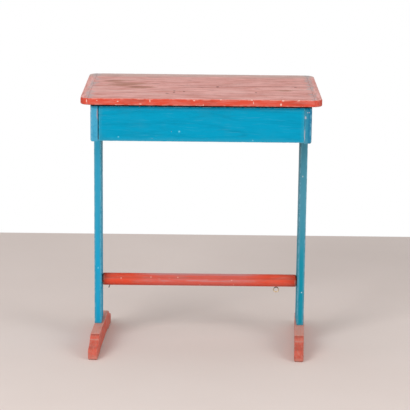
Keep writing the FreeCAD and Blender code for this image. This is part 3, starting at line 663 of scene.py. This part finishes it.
def blue_paint(name, axis, seed, fresh, worn, rim, marks=(), mark_colour=None, faded=0.0, shade_from=None):
    """Blue paint, greyer towards the board's edges, with the undercoat showing at the arrises.

    The rim is the width of the greyer border, faded is how far the paint has greyed above the rail, and
    beyond the X given as the last argument the paint is darkened by painted shade. A band just under the
    lid is darkened by a painted shadow.
    """
    g = Graph(name)
    broad = g.noise(g.grain(axis, seed, 0.12), 16 * MM, 5, 0.6)
    lines = g.noise(g.grain(axis, seed, 0.06), 3 * MM, 3, 0.6)
    brush = g.noise(g.grain(axis, seed + 3, 0.03, 1 * MM), 1.1 * MM, 2)
    rings = g.rings(g.grain(axis, seed + 7, 0.1, 4 * MM), 55 * MM, 14)
    clouds = g.noise(g.place, 55 * MM, 4, 0.55)
    arris = g.arris()
    ragged = g.plus(arris, g.times(g.minus(g.noise(g.place, 24 * MM, 4, 0.6), 0.5), rim))
    under_lid = g.ramp(g.part(g.place, "Z"), box_high.z - 9 * MM, box_high.z - 1 * MM)

    colour = g.mix(g.ramp(broad, 0.45, 0.72, 0.0, 0.2), fresh, BLUE_GRIME_AND_SHADE)
    colour = g.mix(g.ramp(clouds, 0.5, 0.75, 0.0, 0.16), colour, worn)
    above_rail = g.ramp(g.part(g.place, "Z"), rail_high.z, rail_high.z + 220 * MM, 0.0, faded)
    colour = g.mix(above_rail, colour, worn)
    colour = g.mix(g.times(g.ramp(ragged, rim, 0), g.ramp(under_lid, 0, 1, 0.7, 0.1)), colour, worn)
    # Painted shade on the outer edge of the right side panel, which turns away from the light
    if shade_from:
        deep = g.ramp(g.part(g.place, "X"), shade_from, shade_from + 5 * MM, 0.0, 0.7)
        colour = g.mix(deep, colour, SHADE_BLUE)
    # Painted shadow of the lid's overhang along the top of the board
    colour = g.mix(g.times(under_lid, 0.35), colour, BLUE_GRIME_AND_SHADE)
    colour = g.mix(g.ramp(lines, 0.55, 0.8, 0.0, 0.12), colour, BLUE_PALE)
    colour = g.mix(g.ramp(brush, 0.5, 0.8, 0.0, 0.18), colour, BLUE_GRIME_AND_SHADE)
    colour = g.mix(g.ramp(rings, 0.75, 0.97, 0.0, 0.1), colour, BLUE_GRIME_AND_SHADE)
    thin = g.edge_loss(3.2 * MM, 1.45, 13 * MM)
    lost = g.edge_loss(2 * MM, 1.64)
    specks = g.ramp(g.noise(g.place, 7 * MM, 3, 0.6), 0.76, 0.79)
    colour = g.mix(g.times(thin, 0.45), colour, BLUE_PALE)
    colour = g.mix(g.times(g.most(lost, specks), 0.8), colour, UNDERCOAT_PINK)
    relief = g.plus(g.times(lines, 0.12 * MM), g.times(brush, 0.07 * MM))
    relief = g.minus(relief, g.times(g.ramp(rings, 0.75, 0.97), 0.06 * MM))
    relief = g.minus(relief, g.times(g.most(lost, specks), 0.15 * MM))
    if marks:
        spots = g.spots(g.shaken(g.place, 5 * MM, 1.5 * MM), marks, 0.4)
        colour = g.mix(g.times(spots, 0.65), colour, mark_colour)
        relief = g.minus(relief, g.times(spots, 0.12 * MM))
    roughness = g.ramp(g.noise(g.place, 20 * MM, 3), 0.3, 0.7, 0.46, 0.66)
    return g.finish(colour, roughness, relief, 0.05)


def panel_paint(name, axis, seed):
    marks = on_front(PANEL_SPECKS, panel_front)
    return blue_paint(name, axis, seed, BLUE, PANEL_GREY, BOARD_RIM, marks, SPECK_BLUE)


def left_strip_paint(name, axis, seed):
    marks = on_front(LEFT_STRIP_WEAR, box_low.y)
    return blue_paint(name, axis, seed, LEFT_BLUE, LEFT_GREY, BOARD_RIM, marks, UNDERCOAT_PINK)


def right_strip_paint(name, axis, seed):
    marks = on_front(RIGHT_STRIP_WEAR, box_low.y)
    return blue_paint(name, axis, seed, RIGHT_BLUE, RIGHT_GREY, BOARD_RIM, marks, STRIP_PALE,
                      shade_from=box_high.x - SHADED_STRIP)


def left_post_paint(name, axis, seed):
    marks = on_front(LEFT_POST_SPECKS, post_front)
    return blue_paint(name, axis, seed, POST_BLUE, BLUE_GREY, POST_RIM, marks, SPECK_BLUE, faded=0.45)


def right_post_paint(name, axis, seed):
    marks = on_front(RIGHT_POST_SPECKS, post_front)
    return blue_paint(name, axis, seed, POST_TEAL, RIGHT_GREY, POST_RIM, marks, SPECK_PALE, faded=0.75)


def stand_red(g, axis, seed, worn, worn_colour, shade_and_grime):
    """Red paint of the stand, rubbed where a mask says so and darkened where another does, with dirt and
    painted shade.
    """
    broad = g.noise(g.grain(axis, seed, 0.15), 12 * MM, 5, 0.6)
    lines = g.noise(g.grain(axis, seed, 0.06), 2.5 * MM, 3, 0.6)
    colour = g.mix(g.ramp(broad, 0.45, 0.75), STAND_RED, STAND_FADED)
    colour = g.mix(g.ramp(lines, 0.48, 0.72, 0.0, 0.4), colour, STAND_DARK)
    scuffs = g.ramp(g.noise(g.grain(axis, seed + 9, 0.25, 2 * MM), 4 * MM, 4, 0.7), 0.6, 0.7)
    colour = g.mix(g.times(scuffs, 0.45), colour, STAND_WORN)
    colour = g.mix(g.times(worn, g.ramp(lines, 0.25, 0.6, 0.6, 1.0)), colour, worn_colour)
    thin = g.edge_loss(4.5 * MM, 1.43, 13 * MM)
    lost = g.edge_loss(3 * MM, 1.6)
    colour = g.mix(g.times(thin, 0.5), colour, ARRIS_PINK)
    colour = g.mix(g.times(lost, 0.7), colour, WOOD)
    # Darkening that is partly dirt and partly painted shade
    colour = g.mix(g.times(shade_and_grime, 0.7), colour, GRIME_AND_SHADE)
    roughness = g.ramp(g.noise(g.place, 18 * MM, 3), 0.3, 0.7, 0.5, 0.7)
    relief = g.minus(g.times(lines, 0.10 * MM), g.times(lost, 0.15 * MM))
    return colour, roughness, relief


def rail_paint(name, axis, seed):
    """Red rail whose top and front are rubbed in the middle by feet, with painted shade in a line along its
    upper front and at its ends beside the posts.
    """
    g = Graph(name)
    across = g.size(g.part(g.place, "X"))
    height = g.part(g.place, "Z")
    front = g.ramp(g.part(g.normal, "Y"), -0.3, -0.7)
    middle = g.ramp(across, 190 * MM, 100 * MM)
    patchy = g.ramp(g.noise(g.grain(axis, seed + 5, 0.1), 6 * MM, 3), 0.3, 0.55)
    top = g.ramp(g.part(g.normal, "Z"), 0.7, 0.97)
    line = g.ramp(g.size(g.minus(height, rail_middle.z + 1 * MM)), 6 * MM, 0.5 * MM)
    rubbed_line = g.times(g.times(line, front), g.times(patchy, 0.8))
    worn = g.times(middle, g.most(g.most(top, rubbed_line), 0.24))
    # Painted shade: a dark line along the upper front of the round rail, and darkness at its ends, most at
    # the top, where the posts shade it
    shade_line = g.ramp(g.size(g.minus(height, rail_middle.z + 8 * MM)), 4 * MM, 1 * MM)
    ends = g.ramp(across, post_inside - 8 * MM, post_inside - 1 * MM)
    upper = g.ramp(height, rail_middle.z - 6 * MM, rail_middle.z + 10 * MM, 0.15, 0.75)
    shade_and_grime = g.most(g.times(ends, upper), g.times(g.times(shade_line, front), 0.3))
    shade_and_grime = g.most(shade_and_grime, g.times(middle, 0.08))
    colour, roughness, relief = stand_red(g, axis, seed, worn, RAIL_WORN, shade_and_grime)
    half = (1.6 * MM, 20 * MM, 1.6 * MM)
    marks = [((x * MM, rail_low.y, z * MM), half) for x, z in RAIL_SPECKS]
    specks = g.times(g.spots(g.shaken(g.place, 3 * MM, 0.6 * MM), marks), front)
    colour = g.mix(g.times(specks, 0.8), colour, CHIP_PALE)
    return g.finish(colour, roughness, relief, 0.12)


def foot_paint(name, axis, seed, dirt):
    """Red foot with a top that shoes have rubbed pale, painted shade in the quirk and hollow of its
    moulding, and dirt.

    The dirt given is the least share of it, which lies all over the foot.
    """
    g = Graph(name)
    height = g.part(g.place, "Z")
    endways = g.ramp(g.size(g.part(g.normal, "X")), 0.7, 0.3)
    away = g.size(g.part(g.place, "Y"))
    ends = g.times(endways, g.ramp(away, 60 * MM, 80 * MM))
    high = g.ramp(height, foot_top - 3 * MM, foot_top - 1 * MM)
    tops = g.times(g.ramp(g.part(g.normal, "Z"), 0.6, 0.95), high)
    low = g.ramp(height, 20 * MM, 4 * MM)
    patchy = g.ramp(g.noise(g.grain(axis, seed + 5, 0.16, 2 * MM), 7 * MM, 5, 0.68), 0.42, 0.62)
    bead_line = g.times(ends, g.ramp(g.size(g.minus(height, foot_top - BEAD_DROP)), 1.8 * MM, 0.4 * MM))
    worn = g.most(g.times(tops, 0.95), g.most(g.times(low, 0.6), g.times(patchy, 0.5)))
    worn = g.most(g.most(worn, g.times(bead_line, 0.75)), 0.22)
    # Painted shade in the quirk and in the hollow of the toe's moulding; the foot also darkens in its
    # lowest 3 mm
    quirk = g.times(ends, g.ramp(g.size(g.minus(height, foot_top - 2 * MM)), 1.6 * MM, 0.6 * MM))
    hollow = g.times(ends, g.ramp(g.size(g.minus(height, foot_top - BEAD_DROP - 5 * MM)), 5 * MM, 2 * MM))
    floor_line = g.ramp(height, 3 * MM, 0)
    smears = g.noise(g.grain(axis, seed + 8, 0.15), 10 * MM, 5, 0.68)
    smears = g.ramp(smears, 0.42, 0.7, dirt, dirt + 0.28)
    smears = g.times(smears, g.ramp(tops, 0, 1, 1.0, 0.35))
    shade_and_grime = g.most(g.most(floor_line, g.times(quirk, 0.6)), g.most(g.times(hollow, 0.3), smears))
    colour, roughness, relief = stand_red(g, axis, seed, worn, FOOT_WORN, shade_and_grime)
    return g.finish(colour, roughness, relief, 0.12)


def bare_wood(name, axis, seed):
    """Bare softwood, gone brown and dusty, with growth rings that darken to a sharp line."""
    g = Graph(name)
    slow = g.noise(g.grain(axis, seed, 0.07, 4 * MM), 45 * MM, 1)
    rings = g.math("FRACT", g.times(slow, 22.0))
    fibres = g.noise(g.grain(axis, seed, 0.02, 2 * MM), 1.5 * MM, 3, 0.6)
    stains = g.noise(g.grain(axis, seed + 4, 0.4), 60 * MM, 4, 0.6)
    colour = g.mix(g.ramp(rings, 0.2, 1.0, 0.0, 0.75), WOOD, WOOD_DARK)
    colour = g.mix(g.ramp(fibres, 0.45, 0.75, 0.0, 0.5), colour, WOOD_DARK)
    colour = g.mix(g.ramp(stains, 0.48, 0.72, 0.0, 0.45), colour, WOOD_STAIN)
    colour = g.mix(g.ramp(g.noise(g.place, 90 * MM, 3), 0.5, 0.75, 0.0, 0.35), colour, DUST)
    colour = g.mix(g.times(g.ramp(g.arris(), 5 * MM, 0), 0.5), colour, WOOD_STAIN)
    relief = g.plus(g.times(rings, 0.10 * MM), g.times(fibres, 0.10 * MM))
    roughness = g.ramp(stains, 0.3, 0.7, 0.7, 0.88)
    return g.finish(colour, roughness, relief, 0.25)


# Fittings that keep their own shape

def metal(name, clean, stained, share, rough, stain_and_shadow_above=None):
    """Old metal with dull stained patches, and darkened all over above a height: on the screw eye that is
    rust and a painted shadow under the rail.
    """
    g = Graph(name)
    patches = g.ramp(g.noise(g.place, 6 * MM, 5, 0.65), share - 0.08, share + 0.08)
    if stain_and_shadow_above:
        below = g.ramp(g.part(g.place, "Z"), stain_and_shadow_above + 1 * MM, stain_and_shadow_above - 1 * MM)
        patches = g.times(patches, below)
    scratches = g.noise(g.squeezed(g.place, stretch("X", 0.1)), 0.5 * MM, 2)
    colour = g.mix(patches, stained, clean)
    g.feed(g.shader.inputs["Metallic"], g.ramp(patches, 0, 1, 0.25, 0.95))
    roughness = g.ramp(patches, 0, 1, rough + 0.3, rough)
    relief = g.plus(g.times(scratches, 0.02 * MM), g.times(patches, 0.03 * MM))
    return g.finish(colour, roughness, relief, 0.5)


def painted_metal(name, paint, chipped):
    """Screw heads under the desk's paint, chipped to the metal in places."""
    g = Graph(name)
    bare = g.ramp(g.noise(g.place, 2.5 * MM, 4, 0.7), 0.6, 0.68)
    colour = g.mix(g.noise(g.place, 5 * MM, 3), paint, chipped)
    colour = g.mix(bare, colour, CHIPPED_METAL)
    g.feed(g.shader.inputs["Metallic"], g.times(bare, 0.8))
    roughness = g.ramp(bare, 0, 1, 0.6, 0.42)
    relief = g.times(bare, -0.05 * MM)
    return g.finish(colour, roughness, relief, 0.25)


def end_grain(name, paint, worn):
    """Ends of pegs and wedges, painted over and rubbed."""
    g = Graph(name)
    rings = g.noise(g.squeezed(g.place, (1, 1, 0.4)), 1.6 * MM, 3)
    colour = g.mix(g.ramp(rings, 0.4, 0.65), paint, worn)
    relief = g.times(rings, 0.1 * MM)
    return g.finish(colour, g.ramp(rings, 0.3, 0.7, 0.5, 0.75), relief, 0.2)


def old_rubber(name):
    g = Graph(name)
    crazing = g.noise(g.place, 1.2 * MM, 4, 0.7)
    colour = g.mix(g.ramp(crazing, 0.4, 0.65), RUBBER, RUBBER_PALE)
    return g.finish(colour, g.ramp(crazing, 0.3, 0.7, 0.7, 0.9), g.times(crazing, 0.06 * MM), 0.3)


def dress(material, *names):
    """Give carried-over nodes a material in every slot."""
    for name in names:
        for slot in frame["nodes"][name].material_slots:
            slot.material = material


# The desk's pieces

SIDES = ("left", "right")
# Worn radii of the sharp edges, and sizes of the cells that the worn copies are cut into
LID_SOFT = 0.6 * MM
BOARD_SOFT = 0.8 * MM
RAIL_SOFT = 1 * MM
FOOT_SOFT = 1.8 * MM
COARSE_CELL = 10 * MM
BOARD_CELL = 6 * MM
RAIL_CELL = 5 * MM
FOOT_CELL = 3.5 * MM
# Radius of the lid's corners, and width of the band along its outline where arrises count
LID_CORNER = 24 * MM
OUTLINE_BAND = 8 * MM
# How much wider a foot wears at the lower edge of its toe, and how far from there that reaches
TOE_WEAR = 1.5
TOE_REACH = 35 * MM
# Least share of dirt on each foot, and height of the screw eye's shoulder as a share of the eye, above
# which it is darkened by rust and a painted shadow under the rail
FOOT_DIRT = {"left": 0.16, "right": 0.3}
EYE_SHOULDER = 0.42


def lid_outline(point):
    """True close to the lid's outer edge, so that the seams between its boards don't count as arrises."""
    inner = Vector((lid_high.x - LID_CORNER, lid_high.y - LID_CORNER))
    beyond = Vector((max(0, abs(point.x) - inner.x), max(0, abs(point.y) - inner.y)))
    return beyond.length > LID_CORNER - OUTLINE_BAND


def front_chips():
    """Chips in the wood of the lid's front board; those on the clamps are in the paint alone."""
    chips = []
    for x, drop, wide, high, depth in LID_CHIPS:
        centre = Vector((x * MM, lid_low.y, lid_high.z - drop * MM))
        if abs(centre.x) < clamp_seam:
            chips.append((centre, Vector((wide, CHIP_BACK, high)) * MM, depth * MM))
    return chips


def build_lid():
    boards = [("lid_board_front", "X", front_chips()), ("lid_board_rear", "X", ())]
    boards += [("lid_clamp_left", "Y", ()), ("lid_clamp_right", "Y", ())]
    for seed, (name, axis, chips) in enumerate(boards, start=1):
        worn_copy(name, lid_paint(name, axis, seed), LID_SOFT, BOARD_CELL, seed, lid_outline, chips)


def build_box():
    paints = [("front_panel", "X", panel_paint), ("back_panel", "X", panel_paint)]
    paints += [("side_panel_left", "Y", left_strip_paint), ("side_panel_right", "Y", right_strip_paint)]
    for seed, (name, axis, paint) in enumerate(paints, start=11):
        worn_copy(name, paint(name, axis, seed), BOARD_SOFT, BOARD_CELL, seed)
    boards = [f"bottom_board_{number}" for number in range(1, 5)]
    for seed, name in enumerate(boards, start=21):
        worn_copy(name, bare_wood(name, "Y", seed), BOARD_SOFT, COARSE_CELL, seed)
    for seed, name in enumerate(("bottom_cleat_front", "bottom_cleat_rear"), start=31):
        worn_copy(name, bare_wood(name, "X", seed), BOARD_SOFT, COARSE_CELL, seed)


def foot_turn(name):
    """Angle of a foot's long sides from the Y axis."""
    mesh = frame["nodes"][name].data
    ends = [[mesh.vertices[number].co for number in edge.vertices] for edge in mesh.edges]
    spans = [end - start for start, end in ends]
    level = [span for span in spans if abs(span.z) < WELD]
    longest = max(level, key=lambda span: span.length)
    return math.atan(longest.x / longest.y)


def blunt_toe(point):
    """Factor on the worn radius of a foot, which grows towards the lower edge of its toe."""
    toe = Vector((point.x, foot_front, 0))
    return 1 + TOE_WEAR * max(0, 1 - (point - toe).length / TOE_REACH)


def build_stand():
    post_paints = (left_post_paint, right_post_paint)
    for seed, (side, post_paint) in enumerate(zip(SIDES, post_paints), start=41):
        post = f"post_{side}"
        worn_copy(post, post_paint(post, "Z", seed), BOARD_SOFT, BOARD_CELL, seed)
        foot = f"foot_{side}"
        paint = foot_paint(foot, "Y", seed + 2, FOOT_DIRT[side])
        worn_copy(foot, paint, FOOT_SOFT, FOOT_CELL, seed + 2, turn=foot_turn(foot), blunt=blunt_toe)
    rail_seed = 51
    worn_copy("foot_rail", rail_paint("foot_rail", "X", rail_seed), RAIL_SOFT, RAIL_CELL, rail_seed)


def build_fittings():
    steel = metal("dulled_steel", STEEL, STEEL_STAIN, share=0.42, rough=0.42)
    rusty = metal("rusty_steel", RUST, RUST_DARK, share=0.62, rough=0.55)
    shoulder = eye_low.z + EYE_SHOULDER * (eye_high.z - eye_low.z)
    # Above the shoulder the eye is dark: rust and a painted shadow under the rail
    brassy = metal("old_brass", BRASS, BRASS_STAIN_AND_SHADOW, share=0.36, rough=0.4, stain_and_shadow_above=shoulder)
    hinges = [f"hinge_{part}_{side}" for part in ("box_leaf", "lid_leaf", "pin") for side in SIDES]
    dress(steel, *hinges, "hinge_lid_screws", "hinge_box_screws", "cleat_screws", "post_screws")
    dress(rusty, "rail_nail_stub", "bottom_nails")
    dress(brassy, "rail_screw_eye")
    dress(painted_metal("painted_screws", POST_BLUE, BLUE_GREY), "corner_screws")
    dress(end_grain("painted_end_grain", STAND_RED, STAND_FADED), "foot_pegs", "rail_wedges")
    dress(old_rubber("old_rubber"), "lid_buffers")


# Stage, light and camera

FLOOR_END = 1.15
FLOOR_REACH = 9.0
FLOOR_COLOUR = srgb(234, 221, 215)
FLOOR_SHADE = srgb(228, 214, 207)
AMBIENT = 0.55
LAMP_AIM = Vector((0, 0, 0.4))
# The camera's focal length is in pixels of the photograph's frame, and its angles are in degrees
FOCAL_PIXELS = 1750
FRAME_PIXELS = 410
SENSOR = 36
CAMERA_PLACE = (3 * MM, -4532 * MM, 1439 * MM)
CAMERA_HEADING = -0.12
CAMERA_DOWN = 13.24
CAMERA_ROLL = 0.64


def build_floor():
    """Plain pale floor that ends a little way behind the desk."""
    corners = [(-FLOOR_REACH, -FLOOR_REACH), (FLOOR_REACH, -FLOOR_REACH)]
    corners += [(FLOOR_REACH, FLOOR_END), (-FLOOR_REACH, FLOOR_END)]
    mesh = bpy.data.meshes.new("floor")
    mesh.from_pydata([(x, y, 0) for x, y in corners], [], [(0, 1, 2, 3)])
    g = Graph("floor")
    cloudy = g.mix(g.noise(g.place, 0.3, 3), FLOOR_COLOUR, FLOOR_SHADE)
    g.finish(cloudy, 0.85, g.times(g.noise(g.place, 4 * MM, 2), 0.05 * MM), 0.1)
    mesh.materials.append(g.material)
    floor = bpy.data.objects.new("floor", mesh)
    bpy.context.scene.collection.objects.link(floor)


def build_world():
    """White where the camera or a reflection looks, and an even soft light on everything else."""
    world = bpy.data.worlds.new("studio")
    world.use_nodes = True
    tree = world.node_tree
    background = tree.nodes["Background"]
    background.inputs["Color"].default_value = (1, 1, 1, 1)
    path = tree.nodes.new("ShaderNodeLightPath")
    seen = path.outputs["Is Camera Ray"]
    for ray in ("Is Glossy Ray", "Is Transmission Ray"):
        either = tree.nodes.new("ShaderNodeMath")
        either.operation = "MAXIMUM"
        tree.links.new(seen, either.inputs[0])
        tree.links.new(path.outputs[ray], either.inputs[1])
        seen = either.outputs[0]
    strength = tree.nodes.new("ShaderNodeMapRange")
    strength.inputs["To Min"].default_value = AMBIENT
    strength.inputs["To Max"].default_value = 1
    tree.links.new(seen, strength.inputs["Value"])
    tree.links.new(strength.outputs["Result"], background.inputs["Strength"])
    bpy.context.scene.world = world


def soft_lamp(name, place, size, power):
    lamp = bpy.data.lights.new(name, "AREA")
    lamp.shape = "DISK"
    lamp.size = size
    lamp.energy = power
    holder = bpy.data.objects.new(name, lamp)
    holder.location = place
    holder.rotation_euler = (LAMP_AIM - Vector(place)).to_track_quat("-Z", "Y").to_euler()
    bpy.context.scene.collection.objects.link(holder)


def build_camera():
    """Camera fitted to the photograph's frame."""
    lens = bpy.data.cameras.new("camera")
    lens.sensor_width = SENSOR
    lens.lens = SENSOR * FOCAL_PIXELS / FRAME_PIXELS
    camera = bpy.data.objects.new("camera", lens)
    place = Matrix.Translation(CAMERA_PLACE)
    heading = Matrix.Rotation(math.radians(CAMERA_HEADING), 4, "Z")
    tilt = Matrix.Rotation(math.radians(90 - CAMERA_DOWN), 4, "X")
    roll = Matrix.Rotation(math.radians(CAMERA_ROLL), 4, "Z")
    camera.matrix_world = place @ heading @ tilt @ roll
    bpy.context.scene.collection.objects.link(camera)
    bpy.context.scene.camera = camera


build_lid()
build_box()
build_stand()
build_fittings()
build_floor()
build_world()
soft_lamp("key", place=(-2.4, -3.4, 2.6), size=2.4, power=105)
soft_lamp("fill", place=(2.8, -2.6, 1.8), size=2.0, power=45)
build_camera()
bpy.context.scene.view_settings.view_transform = "Standard"
